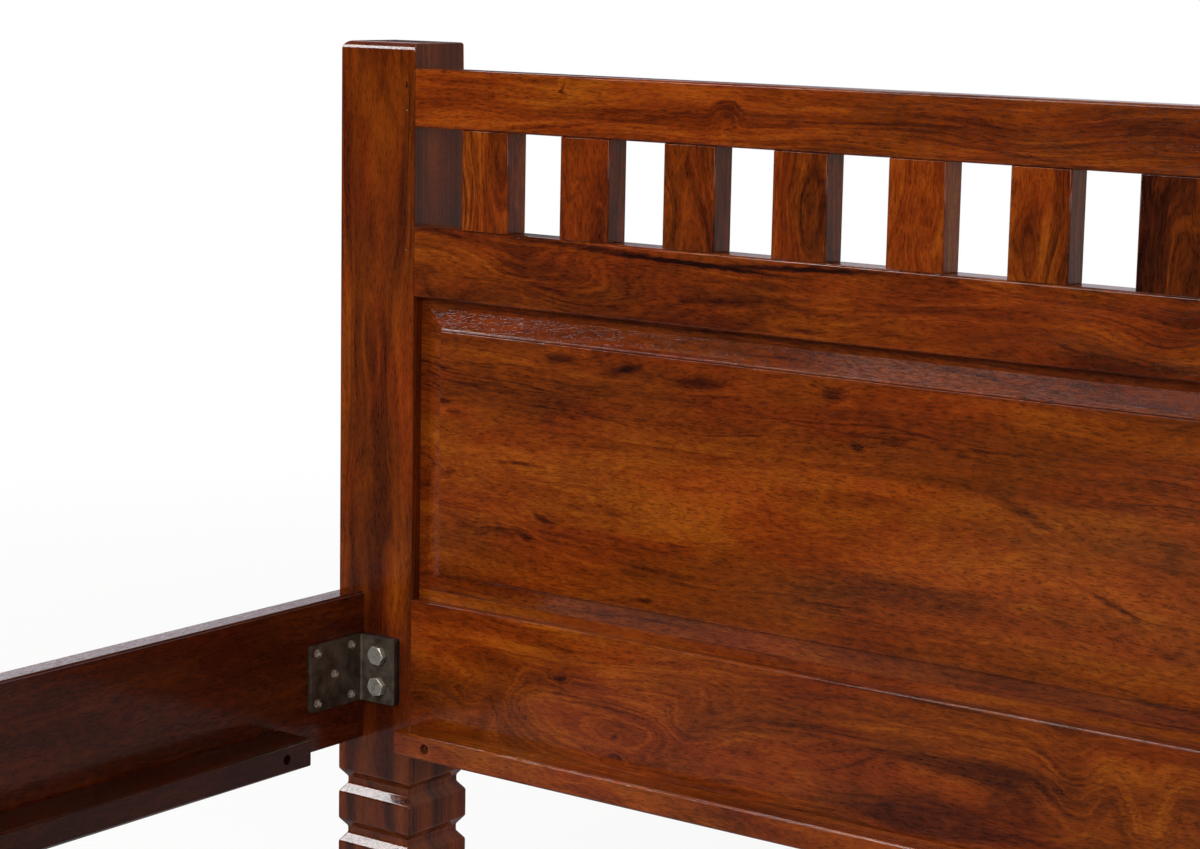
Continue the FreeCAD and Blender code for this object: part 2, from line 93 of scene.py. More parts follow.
def newMaterial(name):
    material = bpy.data.materials.new(name)
    material.use_nodes = True
    material.node_tree.nodes.clear()
    return material, material.node_tree


# Wood

grainAxes = {"x": ("X", "Z", "Y"), "y": ("Y", "Z", "X"), "z": ("Z", "X", "Y")}  # along, across, depth

acacia = {
    # lengths along the grain and widths across it, in mm
    "warpLength": 300.0, "warpWidth": 60.0,       # how the rings wander
    "warpAmount": 16.0,
    "pith": (0.0, 90.0),                          # across and behind the board's middle
    "bandLength": 700.0, "bandWidth": 16.0,       # broad growth bands
    "streakLength": 90.0, "streakWidth": 2.1,
    "poreLength": 8.0, "poreWidth": 1.0,
    "cloudLength": 170.0, "cloudWidth": 55.0,
    "mottleLength": 14.0, "mottleWidth": 5.0,     # short soft flecks
    "raggedLength": 11.0, "raggedWidth": 4.5,     # frays the edges of knots, by this much
    "raggedAmount": (8.0, 2.5),
    "swellLength": 90.0, "swellWidth": 45.0,      # slow waves in the lacquer
    "peelLength": 1.7, "peelWidth": 1.4,          # the lacquer's orange peel
    # how far each layer moves the tone; contrast scales the bands and the clouds
    "contrast": 0.65, "bandGain": 0.95, "cloudGain": 0.7, "streakGain": 0.55, "mottleGain": 0.3,
    "lineGain": 0.1, "lineLevel": 0.47, "lineWidth": 0.022, "lineCloud": (0.42, 0.62),
    "staves": None,           # (height of a glue line over the board's middle, width of a stave) in mm
    "staveJump": (3000.0, 60.0, 40.0), "staveGain": 0.16,
    "shift": 0.0,             # where along the log the board was cut, mm
    "tone": 0.0,              # lighter above zero
    "marks": (),              # (along, across, half length, half width, tilt, darkness, bulge) in mm and degrees
    "markFade": (0.2, 1.35), "markGain": 0.45, "bulgeFade": (0.0, 2.6), "markDepth": 100000.0,
    "colours": [(0.05, "#1f0904"), (0.28, "#421906"), (0.5, "#6e3009"), (0.7, "#8d490f"), (0.95, "#a86319")],
    "redder": (1.0, 0.8, 0.95), "redderCloud": (0.4, 0.62),
    "poreFade": (0.36, 0.5), "poreTone": 0.55,
    # heights of the relief in mm: pores in the wood and in the coat, then the lacquer's waves and peel
    "poreHeight": 0.1, "poreStrength": 0.3, "coatPore": 0.06, "swell": 0.35, "peel": 0.035,
    "roughness": 0.55, "coat": 0.9, "coatIndex": 1.5, "gloss": 0.09,
}

# detail, roughness and seed of each noise in the wood
layers = {
    "warp": (2.0, 0.5, 2.2), "band": (3.0, 0.6, 3.1), "streak": (3.0, 0.65, 8.7), "pore": (2.0, 0.6, 1.9),
    "cloud": (2.0, 0.5, 5.3), "mottle": (3.0, 0.6, 6.1), "ragged": (3.0, 0.6, 4.4), "swell": (1.0, 0.5, 7.7),
    "peel": (1.0, 0.5, 9.3),
}


def lacqueredAcacia(name, grain, middle, look):
    # stained acacia under clear lacquer: soft bands and clouds, fine streaks and pores, dark knots, glossy skin
    wood = {**acacia, **look}
    material, tree = newMaterial(name)

    def layer(vector, kind):
        length, width = wood[kind + "Length"], wood[kind + "Width"]
        detail, roughness, seed = layers[kind]
        spread = addNode(tree, "VectorMath", {"operation": "MULTIPLY_ADD", 1: (1 / length, 1 / width, 1 / width),
                                              2: (seed, seed, seed)}, {0: vector})
        return addNode(tree, "TexNoise", {"Scale": 1.0, "Detail": detail, "Roughness": roughness},
                       {"Vector": spread.outputs[0]})

    def pushed(vector, amount, source):
        # moves a place by up to the amount either way, as the noise's colour says
        push = addNode(tree, "VectorMath", {"operation": "MULTIPLY_ADD", 1: [2 * a for a in amount],
                                            2: [-a for a in amount]}, {0: source.outputs["Color"]})
        return addNode(tree, "VectorMath", {"operation": "ADD"}, {0: vector, 1: push.outputs[0]}).outputs[0]

    def scaled(value, gain, offset):
        return addNode(tree, "Math", {"operation": "MULTIPLY_ADD", 1: gain, 2: offset}, {0: value}).outputs[0]

    def total(first, second, gain=1.0):
        # first times gain, plus second
        return addNode(tree, "Math", {"operation": "MULTIPLY_ADD", 1: gain}, {0: first, 2: second}).outputs[0]

    def relief(height, source, strength=1.0, under=None):
        links = {"Height": source, "Normal": under} if under else {"Height": source}
        return addNode(tree, "Bump", {"Strength": strength, "Distance": height * mm}, links).outputs[0]

    split = addNode(tree, "SeparateXYZ", links={0: addNode(tree, "TexCoord").outputs["Object"]})
    along, across, depth = (split.outputs[axis] for axis in grainAxes[grain])
    bare = addNode(tree, "CombineXYZ", links={0: along, 1: across, 2: depth}).outputs[0]
    bare = addNode(tree, "Mapping", {"vector_type": "TEXTURE", "Location": [m * mm for m in middle],
                                     "Scale": (mm, mm, mm)}, {"Vector": bare}).outputs[0]
    board = addNode(tree, "VectorMath", {"operation": "ADD", 1: (wood["shift"], 0, 0)}, {0: bare}).outputs[0]
    staveTone = None
    if wood["staves"]:
        # every stave was cut elsewhere in the tree, so its figure and tone start anew at the glue line
        glueLine, width = wood["staves"]
        height = addNode(tree, "SeparateXYZ", links={0: bare}).outputs[1]
        number = addNode(tree, "Math", {"operation": "FLOOR"}, {0: scaled(height, 1 / width, -glueLine / width)})
        chance = addNode(tree, "TexWhiteNoise", {"noise_dimensions": "1D"}, {"W": number.outputs[0]})
        board = addNode(tree, "VectorMath", {"operation": "MULTIPLY_ADD", 1: wood["staveJump"]},
                        {0: chance.outputs["Color"], 2: board}).outputs[0]
        staveTone = chance.outputs["Value"]

    amount = wood["warpAmount"]
    bent = pushed(board, (0, amount, amount), layer(board, "warp"))
    pithSide, pithDepth = wood["pith"]
    ring = addNode(tree, "VectorMath", {"operation": "MULTIPLY_ADD", 1: (0, 1, 1), 2: (0, -pithSide, -pithDepth)},
                   {0: bent})
    ring = addNode(tree, "VectorMath", {"operation": "LENGTH"}, {0: ring.outputs[0]}).outputs["Value"]

    # knots and dark marks: an oval each, ragged at its edge, round which the rings bulge
    markTone = None
    if wood["marks"]:
        ragged = pushed(bare, (*wood["raggedAmount"], 0), layer(bare, "ragged"))
        for markAlong, markAcross, halfLength, halfWidth, tilt, darkness, bulge in wood["marks"]:
            oval = addNode(tree, "Mapping", {
                "vector_type": "TEXTURE", "Location": (markAlong - middle[0], markAcross - middle[1], 0),
                "Rotation": (0, 0, math.radians(tilt)), "Scale": (halfLength, halfWidth, wood["markDepth"])},
                {"Vector": ragged})
            reach = addNode(tree, "VectorMath", {"operation": "LENGTH"}, {0: oval.outputs[0]}).outputs["Value"]
            heart = fade(tree, reach, wood["markFade"], -wood["markGain"] * darkness, 0.0)
            markTone = total(heart, markTone) if markTone else heart
            if bulge:
                ring = total(fade(tree, reach, wood["bulgeFade"], 1.0, 0.0), ring, bulge)

    lengthwise = addNode(tree, "SeparateXYZ", links={0: board}).outputs[0]
    sheet = addNode(tree, "CombineXYZ", links={0: lengthwise, 1: ring}).outputs[0]
    bands, streaks = (layer(sheet, kind).outputs["Fac"] for kind in ("band", "streak"))
    pores, mottle = (layer(bent, kind).outputs["Fac"] for kind in ("pore", "mottle"))
    clouds = addNode(tree, "SeparateXYZ", links={0: layer(board, "cloud").outputs["Color"]}).outputs

    # a growth line is where the broad bands cross one level, drawn only where a cloud lets it show
    line = addNode(tree, "Math", {"operation": "ABSOLUTE"}, {0: scaled(bands, 1.0, -wood["lineLevel"])}).outputs[0]
    line = combine(tree, "MULTIPLY", fade(tree, line, (0.0, wood["lineWidth"]), 1.0, 0.0),
                   fade(tree, clouds[2], wood["lineCloud"]))

    # the tone is a half, plus each layer's distance from its own half times its gain
    swing = wood["bandGain"] * wood["contrast"]
    tone = scaled(bands, swing, 0.5 + wood["tone"] - swing / 2)
    for value, gain in ((streaks, wood["streakGain"]), (clouds[0], wood["cloudGain"] * wood["contrast"]),
                        (mottle, wood["mottleGain"])):
        tone = total(scaled(value, gain, -gain / 2), tone)
    tone = total(line, tone, -wood["lineGain"])
    if markTone:
        tone = total(markTone, tone)
    if staveTone:
        tone = total(scaled(staveTone, wood["staveGain"], -wood["staveGain"] / 2), tone)
    colour = addNode(tree, "ValToRGB", {"stops": wood["colours"]}, {"Fac": tone}).outputs["Color"]
    # the stain took redder in places
    redder = addNode(tree, "VectorMath", {"operation": "MULTIPLY", 1: wood["redder"]}, {0: colour}).outputs[0]
    colour = addNode(tree, "Mix", {"data_type": "RGBA"}, {
        0: fade(tree, clouds[1], wood["redderCloud"]), 6: colour, 7: redder}).outputs[2]
    poreMask = fade(tree, pores, wood["poreFade"], wood["poreTone"], 1.0)
    colour = addNode(tree, "VectorMath", {"operation": "SCALE"}, {0: colour, "Scale": poreMask}).outputs[0]

    coatRelief = relief(wood["swell"], layer(bare, "swell").outputs["Fac"])
    coatRelief = relief(wood["peel"], layer(bare, "peel").outputs["Fac"], 1.0, coatRelief)
    coatRelief = relief(wood["coatPore"], poreMask, 1.0, coatRelief)
    skin = addNode(tree, "BsdfPrincipled", {
        "Roughness": wood["roughness"], "Specular IOR Level": 0.0, "Coat Weight": wood["coat"],
        "Coat Roughness": wood["gloss"], "Coat IOR": wood["coatIndex"]},
        {"Base Color": colour, "Normal": relief(wood["poreHeight"], poreMask, wood["poreStrength"]),
         "Coat Normal": coatRelief})
    addNode(tree, "OutputMaterial", links={"Surface": skin.outputs[0]})
    return material


# Steel and pine

metal = {
    "blotch": 14.0, "blotchDetail": 6.0, "blotchRoughness": 0.65, "blotchRange": (0.35, 0.65),
    "grit": 1.2, "gritDetail": 3.0, "gritGain": 0.35, "shadeStops": (0.3, 1.0), "smoother": 0.08, "rougher": 0.14,
    "scratch": (9.0, 9.0, 0.35), "scratchDetail": 2.0, "scratchDepth": 0.06,
}


def steel(name, pale, dark, metallic, roughness, scuff):
    # plated or rolled steel: dull metal, blotched by handling, with fine scratches that catch the light
    material, tree = newMaterial(name)
    place = addNode(tree, "TexCoord").outputs["Object"]
    blotch = addNode(tree, "TexNoise", {"Scale": 1 / (metal["blotch"] * mm), "Detail": metal["blotchDetail"],
                                        "Roughness": metal["blotchRoughness"]}, {"Vector": place}).outputs["Fac"]
    grit = addNode(tree, "TexNoise", {"Scale": 1 / (metal["grit"] * mm), "Detail": metal["gritDetail"]},
                   {"Vector": place}).outputs["Fac"]
    shade = addNode(tree, "Math", {"operation": "MULTIPLY_ADD", 1: metal["gritGain"]}, {0: grit, 2: blotch})
    shade = addNode(tree, "ValToRGB", {"stops": list(zip(metal["shadeStops"], (dark, pale)))},
                    {"Fac": shade.outputs[0]})
    rough = fade(tree, blotch, metal["blotchRange"], roughness - metal["smoother"], roughness + metal["rougher"],
                 "LINEAR")
    scratch = drawnNoise(tree, place, metal["scratch"], metal["scratchDetail"])
    relief = addNode(tree, "Bump", {"Strength": scuff, "Distance": metal["scratchDepth"] * mm}, {"Height": scratch})
    skin = addNode(tree, "BsdfPrincipled", {"Metallic": metallic}, {
        "Base Color": shade.outputs["Color"], "Roughness": rough, "Normal": relief.outputs[0]})
    addNode(tree, "OutputMaterial", links={"Surface": skin.outputs[0]})
    return material


pine = {
    "rings": (600.0, 9.0, 14.0), "ringDetail": 3.0, "fibres": (30.0, 0.8, 0.8), "fibreDetail": 2.0, "fibreGain": 0.35,
    "colours": [(0.45, "#a87c45"), (0.62, "#c9a268"), (0.9, "#e0c08c")],
    "fibreHeight": 0.1, "fibreStrength": 0.3, "roughness": 0.62, "specular": 0.3,
}


def planedPine(name):
    # bare planed pine: pale yellow with soft growth rings, matt
    material, tree = newMaterial(name)
    place = addNode(tree, "TexCoord").outputs["Object"]
    rings = drawnNoise(tree, place, pine["rings"], pine["ringDetail"])
    fibres = drawnNoise(tree, place, pine["fibres"], pine["fibreDetail"])
    tone = addNode(tree, "Math", {"operation": "MULTIPLY_ADD", 1: pine["fibreGain"]}, {0: fibres, 2: rings})
    colour = addNode(tree, "ValToRGB", {"stops": pine["colours"]}, {"Fac": tone.outputs[0]})
    relief = addNode(tree, "Bump", {"Strength": pine["fibreStrength"], "Distance": pine["fibreHeight"] * mm},
                     {"Height": fibres})
    skin = addNode(tree, "BsdfPrincipled", {"Roughness": pine["roughness"], "Specular IOR Level": pine["specular"]},
                   {"Base Color": colour.outputs["Color"], "Normal": relief.outputs[0]})
    addNode(tree, "OutputMaterial", links={"Surface": skin.outputs[0]})
    return material


# Mesh helpers

def easedCorners(points, radius, steps=4, mostOfSide=0.45):
    # an open profile with its corners rounded: near a corner P the line runs along the parabola
    # (1 - t)^2 A + 2 t (1 - t) P + t^2 B, where A and B lie a radius away on the two sides
    points = np.array(points, float)
    before, corner, after = points[:-2], points[1:-1], points[2:]
    back, ahead = before - corner, after - corner
    backLength = np.linalg.norm(back, axis=1, keepdims=True)
    aheadLength = np.linalg.norm(ahead, axis=1, keepdims=True)
    start = corner + back * np.minimum(radius / backLength, mostOfSide)
    end = corner + ahead * np.minimum(radius / aheadLength, mostOfSide)
    t = np.linspace(0, 1, steps + 1)[None, :, None]
    curve = (1 - t) ** 2 * start[:, None] + 2 * t * (1 - t) * corner[:, None] + t ** 2 * end[:, None]
    return np.vstack([points[:1], curve.reshape(-1, 2), points[-1:]])


def roundedLoop(low, high, radius, steps=5):
    # rectangles with quarter-circle corners, one row for each pair of opposite corners
    low, high = np.asarray(low, float), np.asarray(high, float)
    angle = np.radians(np.linspace(0, 90, steps + 1)[None] + np.array([-90, 0, 90, 180])[:, None]).ravel()[None]
    rightSide = np.repeat([1, 1, 0, 0], steps + 1)[None]
    topSide = np.repeat([0, 1, 1, 0], steps + 1)[None]
    middleU = np.where(rightSide, high[:, :1] - radius, low[:, :1] + radius)
    middleV = np.where(topSide, high[:, 1:] - radius, low[:, 1:] + radius)
    return middleU + radius * np.cos(angle), middleV + radius * np.sin(angle)


def shell(rings):
    # joins rings of points, each as long as the next, into one closed skin with a flat cap at both ends
    levels, around = rings.shape[:2]
    index = np.arange(levels * around).reshape(levels, around)
    here, there = index[:-1], index[1:]
    quads = np.stack([here, np.roll(here, -1, 1), np.roll(there, -1, 1), there], -1).reshape(-1, 4)
    return rings.reshape(-1, 3), [quads, index[:1, ::-1], index[-1:]]


def addObject(name, data):
    made = bpy.data.objects.new(name, data)
    bpy.context.scene.collection.objects.link(made)
    return made


def smoothObject(name, mesh, material):
    mesh.polygons.foreach_set("use_smooth", np.ones(len(mesh.polygons), bool))
    mesh.materials.append(material)
    return addObject(name, mesh)


flatsWeight = 60              # how far a large face pulls the shading of its corners towards itself


def makePiece(name, node, shells, material):
    # one piece in place of a CAD node, from closed skins given in mm, its faces turned outwards
    points = np.vstack([part[0] for part in shells]) * mm
    faces, start = [], 0
    for part, groups in shells:
        for group in groups:
            faces += (group + start).tolist()
        start += len(part)
    mesh = bpy.data.meshes.new(name)
    mesh.from_pydata(points.tolist(), [], faces)
    work = bmesh.new()
    work.from_mesh(mesh)
    bmesh.ops.recalc_face_normals(work, faces=work.faces)
    work.to_mesh(mesh)
    work.free()
    piece = smoothObject(name, mesh, material)
    weighted = piece.modifiers.new("flats lead", "WEIGHTED_NORMAL")
    weighted.weight = flatsWeight
    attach(piece, "root")
    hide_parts(node)


easing = {
    "weld": 0.005,            # mm
    "flat": 0.8,              # degrees between faces that count as one
    "sharp": 0.3,             # radians between faces whose edge is eased
    "segments": 3,
}


def easedCopy(node, material, width, shortest=20.0):
    # a CAD piece with its long sharp edges rounded over, as a hand with sandpaper leaves them
    source = nodes[node].data
    points = np.empty(len(source.vertices) * 3)
    source.vertices.foreach_get("co", points)
    mesh = bpy.data.meshes.new(node + "_eased")
    mesh.from_pydata(points.reshape(-1, 3).tolist(), [], [list(face.vertices) for face in source.polygons])
    work = bmesh.new()
    work.from_mesh(mesh)
    bmesh.ops.remove_doubles(work, verts=work.verts, dist=easing["weld"] * mm)
    bmesh.ops.dissolve_limit(work, angle_limit=math.radians(easing["flat"]), verts=work.verts, edges=work.edges)
    weight = work.edges.layers.float.new("bevel_weight_edge")
    for edge in work.edges:
        if edge.calc_face_angle(0) > easing["sharp"]:
            edge.smooth = edge.calc_length() > shortest * mm
            edge[weight] = float(edge.smooth)
    work.to_mesh(mesh)
    work.free()
    piece = smoothObject(node + "_eased", mesh, material)
    bevel = piece.modifiers.new("eased edges", "BEVEL")
    bevel.width = width * mm
    bevel.segments = easing["segments"]
    bevel.limit_method = "WEIGHT"
    bevel.use_clamp_overlap = False
    bevel.harden_normals = True
    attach(piece, "root")
    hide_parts(node)


# Posts

post = {
    "arris": 1.5, "topRound": 8.0, "topRoundBehind": 3.0, "topRoundInside": 2.0, "topSteps": 14,
    "footChamfer": 2.5,
    "footBlock": 38.0, "notches": 4, "pitch": 50.5, "bevel": 8.5, "flat": 6.5, "depth": 6.5,
    "sawnEdge": 1.5,          # roundness left on the edges of the notches
    "seat": 395.0, "depthBelow": 87.0, "depthAtTop": {"head": 71.0, "foot": 87.0},
}


def postPiece(end, side, material):
    # rounded rectangles stacked up the post; the profile of notched leg and rounded top draws each one in
    name = end + "_post_" + side
    low, high = (np.array(corner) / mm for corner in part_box(name))
    profile = [(post["footChamfer"], 0), (0, post["footChamfer"])]
    for number in range(post["notches"]):
        level = post["footBlock"] + number * post["pitch"]
        climb = np.cumsum([level, post["bevel"], post["flat"], post["bevel"]])
        profile += zip((0, post["depth"], post["depth"], 0), climb)
    turn = np.linspace(0, math.pi / 2, post["topSteps"] + 1)
    crown = np.column_stack([0 * turn, high[2] - post["topRound"] * (1 - np.sin(turn))])
    profile = np.vstack([easedCorners(profile + [(0, post["seat"])], post["sawnEdge"]), crown])
    inset, level = profile.T

    def topInset(radius):
        # the circle of that radius which ends level with the top, so the side curves over by its own amount
        above = np.maximum(0, radius - (high[2] - level))
        return inset + radius - np.sqrt(radius ** 2 - above ** 2)

    lean = (post["depthBelow"] - post["depthAtTop"][end]) / (high[2] - post["seat"])
    front = min(abs(low[1]), abs(high[1]))
    back = front + post["depthBelow"] - lean * np.maximum(0, level - post["seat"])
    outer, inner = topInset(post["topRound"]), topInset(post["topRoundInside"])
    left, right = (outer, inner) if side == "left" else (inner, outer)
    u, v = roundedLoop(np.column_stack([low[0] + left, front + outer]),
                       np.column_stack([high[0] - right, back - topInset(post["topRoundBehind"])]), post["arris"])
    facing = 1 if end == "head" else -1
    rings = np.stack([u, facing * v, np.broadcast_to(level[:, None], u.shape)], -1)
    makePiece(name + "_turned_out", name, [shell(rings)], material)


# Raised panels

panel = {
    "thickness": 19.0,        # from the rails' front to the tongue's back
    "recess": 12.0, "reach": 8.0, "margin": 9.0, "border": 28.0, "bevelRise": 4.6,
    "steps": 2, "stepWidth": 1.6, "stepRise": 1.3, "treadSlope": 0.15, "quirkWidth": 0.5, "quirkDepth": 1.0,
    "stepRound": 0.9, "cornerRound": 1.4,
    "fieldEdge": 4.0,         # the field's outermost strip, which keeps the step's shading off the field
}


def panelPiece(name, material):
    # rectangles nested towards the field; the moulding's profile gives each its inset and its depth
    low, high = (np.array(corner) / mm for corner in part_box(name))
    face = high[1] - panel["thickness"]
    profile = [(-panel["reach"], panel["thickness"]), (-panel["reach"], panel["recess"]),
               (panel["margin"], panel["recess"]), (panel["border"], panel["recess"] - panel["bevelRise"])]
    for number in range(panel["steps"]):
        inset, depth = profile[-1]
        top = depth - panel["stepRise"] - panel["treadSlope"]
        profile += [(inset, depth - panel["stepRise"]), (inset + panel["stepWidth"], top)]
        if number < panel["steps"] - 1:
            # a narrow sunk line sets the bead off from the next step
            profile[-1:] = [(inset + panel["stepWidth"] - panel["quirkWidth"], top),
                            (inset + panel["stepWidth"] - panel["quirkWidth"] / 2, top + panel["quirkDepth"]),
                            (inset + panel["stepWidth"], top)]
    profile.append((profile[-1][0] + panel["fieldEdge"], profile[-1][1]))
    inset, depth = easedCorners(profile, panel["stepRound"]).T
    inset = inset + panel["reach"]
    u, v = roundedLoop(np.column_stack([low[0] + inset, low[2] + inset]),
                       np.column_stack([high[0] - inset, high[2] - inset]), panel["cornerRound"])
    rings = np.stack([u, np.broadcast_to(face + depth[:, None], u.shape), v], -1)
    makePiece(name + "_fielded", name, [shell(rings)], material)


# Bolts, screws and brads

def about(place, outward, reach, height, turn=0.0):
    # rings round an axis: radius and height for each ring and angle, in mm, with height along the outward side
    outward = np.array(outward, float)
    side = np.roll(np.abs(outward), 1)
    other = np.cross(outward, side)
    angle = np.linspace(0, 2 * math.pi, reach.shape[1], endpoint=False)[None, :, None] + turn
    return (np.array(place, float) + reach[..., None] * (np.cos(angle) * side + np.sin(angle) * other)
            + height[..., None] * outward)


bolt = {
    "acrossFlats": 17.0, "height": 6.4, "shank": 5.0, "length": 28.0, "edgeRound": 0.35, "edgeFlare": 0.04,
    "crown": 7.6, "crownSlope": 0.42, "crownSoft": 0.02, "crownLift": 0.06, "crownLead": 0.6,
    "shares": (0.05, 0.5, 0.8, 0.86, 0.9, 0.94, 0.97, 1.0),       # rings of the head's top, by share of its reach
    "around": 72,
}
cornerBolts = {"x": 794.25, "y": 1001.5, "levels": (307.0, 337.5), "turns": (14.0, 41.0), "turnStep": 17.0}


def boltShell(place, outward, turn):
    # the head's reach is a hexagon's, half its width over the cosine of the angle from the nearest flat
    angle = np.linspace(0, 360, bolt["around"], endpoint=False)
    hexagon = bolt["acrossFlats"] / 2 / np.cos(np.radians((angle + 30) % 60 - 30))
    top = np.array(bolt["shares"])[:, None] * hexagon
    # past the crown's radius the top falls by the slope times the root of distance squared plus a little
    past = np.maximum(0, top - bolt["crown"])
    fall = bolt["crownSlope"] * np.sqrt(past ** 2 + bolt["crownSoft"]) - bolt["crownLift"]
    crown = bolt["height"] - np.where(top > bolt["crown"] - bolt["crownLead"], np.maximum(0, fall), 0)
    around = np.ones_like(hexagon)[None]
    reach = np.vstack([top, hexagon[None] + bolt["edgeFlare"], hexagon[None], bolt["shank"] * around,
                       bolt["shank"] * around])
    height = np.vstack([crown, crown[-1:] - bolt["edgeRound"], 0 * around, 0 * around, -bolt["length"] * around])
    return shell(about(place, outward, reach, height, math.radians(turn)))


screw = {
    "head": 4.15, "rim": 0.15, "dome": 0.5, "innermost": 0.12, "rings": 20, "around": 48,
    "arm": 3.0, "armFade": 0.9, "slot": 1.35, "wall": 0.3, "recess": 2.4,
    "shank": 2.25, "point": 4.0, "tip": 0.3,
}
bracketScrews = {"x": 818.2, "y": 964.0, "z": 322.25, "along": 24.0, "up": 24.5, "length": 22.0, "turnStep": 31.0}
cleatScrews = {
    "length": 45.0, "sideX": 790.25, "sideZ": 269.25, "sideY": (-853.5, -284.5, 284.5, 853.5), "sideTurn": 20.0,
    "endY": 986.0, "endZ": 262.25, "endX": (-718.75, 0.0, 718.75), "endTurn": 35.0,
}


def screwShell(place, outward, turn, length):
    # a low dome with a cross sunk in it: within the slot's width of either arm the surface drops to the recess
    radius = np.append(np.linspace(screw["innermost"], screw["head"] - screw["rim"], screw["rings"]), screw["head"])
    radius = radius[:, None]
    angle = np.linspace(0, 2 * math.pi, screw["around"], endpoint=False)[None]
    u, v = np.abs(radius * np.cos(angle)), np.abs(radius * np.sin(angle))
    sunk = [np.clip((screw["slot"] - across) / screw["wall"] + 0.5, 0, 1)
            * np.clip((screw["arm"] - along) / screw["armFade"], 0, 1) for along, across in ((u, v), (v, u))]
    height = screw["dome"] * (1 - (radius / screw["head"]) ** 2) - screw["recess"] * np.maximum(*sunk)
    around = np.ones_like(angle)
    reach = np.vstack([radius * around, *(r * around for r in (screw["shank"], screw["shank"], screw["tip"]))])
    down = [screw["shank"] - screw["head"], screw["point"] - length, -length]
    height = np.vstack([height, *(h * around for h in down)])
    return shell(about(place, outward, reach, height, math.radians(turn)))


brad = {"proud": 0.15, "radius": 0.85, "length": 22.0, "shares": (0.15, 0.5, 0.8, 0.95, 1.0), "around": 16}
brads = {"x": 771.25, "head": ((1010.0, 858.5), (1010.0, 728.5)), "foot": ((-1010.0, 530.5),)}


def bradShell(x, y, z, outward):
    # a bright pin driven flush: the head stands proud by the root of one minus the share of its radius squared
    share = np.array(brad["shares"])
    radius = brad["radius"] * np.append(share, 1.0)
    height = np.append(brad["proud"] * np.sqrt(1 - share ** 2), -brad["length"])
    around = np.ones((1, brad["around"]))
    return shell(about((x, y, z), outward, radius[:, None] * around, height[:, None] * around))


def placeFasteners(boltFinish, screwFinish, cleatShade, bradFinish):
    # the same sets on both sides and at both ends; every head is turned a step further than the last
    boltShells, screwShells, cleatShells, bradShells = [], [], [], []
    offsets = [(0, 0)] + [(a, b) for a in (-1, 1) for b in (-1, 1)]
    count = 0
    for side in (-1, 1):
        for end in (-1, 1):
            for level, turn in zip(cornerBolts["levels"], cornerBolts["turns"]):
                boltShells.append(boltShell((side * cornerBolts["x"], end * cornerBolts["y"], level),
                                            (0, -end, 0), turn + cornerBolts["turnStep"] * count))
                count += 1
            for along, up in offsets:
                place = (side * bracketScrews["x"], end * (bracketScrews["y"] + along * bracketScrews["along"]),
                         bracketScrews["z"] + up * bracketScrews["up"])
                screwShells.append(screwShell(place, (-side, 0, 0), bracketScrews["turnStep"] * count,
                                              bracketScrews["length"]))
                count += 1
        for y in cleatScrews["sideY"]:
            cleatShells.append(screwShell((side * cleatScrews["sideX"], y, cleatScrews["sideZ"]), (-side, 0, 0),
                                          cleatScrews["sideTurn"] * count, cleatScrews["length"]))
            count += 1
        for x in cleatScrews["endX"]:
            cleatShells.append(screwShell((x, side * cleatScrews["endY"], cleatScrews["endZ"]), (0, -side, 0),
                                          cleatScrews["endTurn"] * count, cleatScrews["length"]))
            count += 1
        bradShells += [bradShell(side * brads["x"], y, z, (0, -1, 0)) for y, z in brads["head"]]
        bradShells += [bradShell(side * brads["x"], y, z, (0, 1, 0)) for y, z in brads["foot"]]
    makePiece("hex_bolt_heads", "hex_bolts", boltShells, boltFinish)
    makePiece("bracket_cross_screws", "bracket_screws", screwShells, screwFinish)
    # the cleat screws take near-black steel as painted shade, for the darkness deep in their counterbores
    makePiece("cleat_cross_screws", "cleat_screws", cleatShells, cleatShade)
    makePiece("brad_heads", "tenon_brads", bradShells, bradFinish)


# Boards

# knots and darker or paler patches where the photo shows them, as the acacia's settings describe a mark
headPanelMarks = (
    (-592, 644, 19, 5, 8, 0.55, 8), (-516, 641, 19, 4, 17, 0.5, 7), (-440, 636, 30, 6, 2, 0.5, 9),
    (-355, 634, 22, 6, 0, 0.3, 5), (-303, 640, 13, 7, 0, 0.45, 6), (-727, 590, 6, 3, 0, 0.45, 3),
    (-712, 580, 10, 3, 5, 0.35, 3), (-640, 541, 30, 2.2, 1, 0.5, 3), (-722, 523, 12, 5, 15, 0.5, 6),
    (-608, 493, 15, 3.5, -18, 0.45, 6), (-533, 511, 15, 6, -25, 0.25, 8), (-655, 474, 16, 5, -5, 0.3, 6),
    (-628, 474, 12, 4, -12, 0.3, 5), (-492, 434, 9, 3, 8, 0.45, 4), (-277, 598, 6, 4, 0, 0.5, 5),
    (-165, 608, 60, 1.8, 2, 0.25, 0), (-280, 554, 75, 7, 3, 0.2, 0), (-112, 560, 34, 5, -22, 0.3, 6),
    (-32, 498, 30, 2.2, -20, 0.4, 6), (-85, 528, 28, 8, 0, 0.18, 5), (-82, 478, 22, 2.5, -10, 0.35, 6),
    (20, 465, 22, 6, -10, 0.3, 8), (-600, 588, 60, 20, 0, 0.14, 0), (-270, 425, 60, 9, 5, 0.15, 0),
    (-520, 652, 120, 9, 2, -0.2, 0), (255, 612, 18, 5, -6, 0.45, 8), (430, 524, 28, 3, 4, 0.4, 5),
    (602, 578, 12, 5, 10, 0.45, 6), (520, 452, 50, 10, -4, 0.15, 0),
)
footPanelMarks = (
    (-410, 455, 16, 4, 6, 0.45, 7), (150, 445, 22, 5, -8, 0.4, 8), (520, 468, 10, 3, 10, 0.45, 5),
    (300, 450, 60, 2, 3, 0.3, 0), (-150, 462, 70, 9, 3, 0.15, 0),
)
